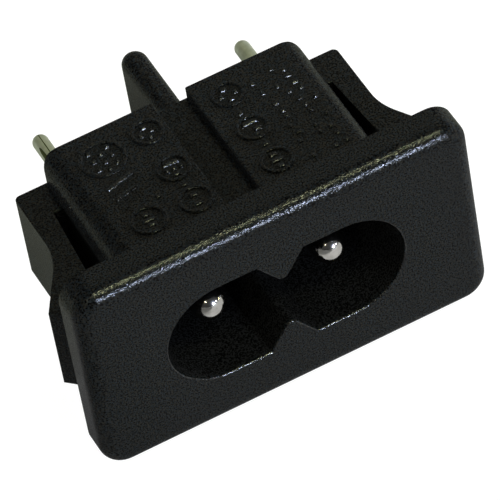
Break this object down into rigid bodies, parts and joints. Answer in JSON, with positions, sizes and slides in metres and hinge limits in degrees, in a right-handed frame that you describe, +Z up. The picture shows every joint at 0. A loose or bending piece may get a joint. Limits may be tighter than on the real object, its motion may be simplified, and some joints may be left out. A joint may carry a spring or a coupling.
{
  "type": "panel-mount appliance inlet",
  "caption": "Snap-in panel-mount appliance inlet with a figure-8 recess, round contact pins, side latch arms, a barrier rib and round rear solder terminals",
  "frame": {"origin": "On the axis of the connector, in the plane of the bezel's rear face, which lies on the panel", "axes": "+X to the right seen from the front, +Y back through the panel along the direction the inlet is pushed in, +Z up across the bezel's short side"},
  "size_m": [0.0282, 0.0212, 0.016],
  "materials": {
    "black_plastic": "black thermoplastic with a fine matte grain",
    "contact_metal": "nickel-plated brass, smooth"
  },
  "bodies": {
    "root": {"housing": "black_plastic", "contact_left": "contact_metal", "contact_right": "contact_metal"}
  },
  "joints": []
}
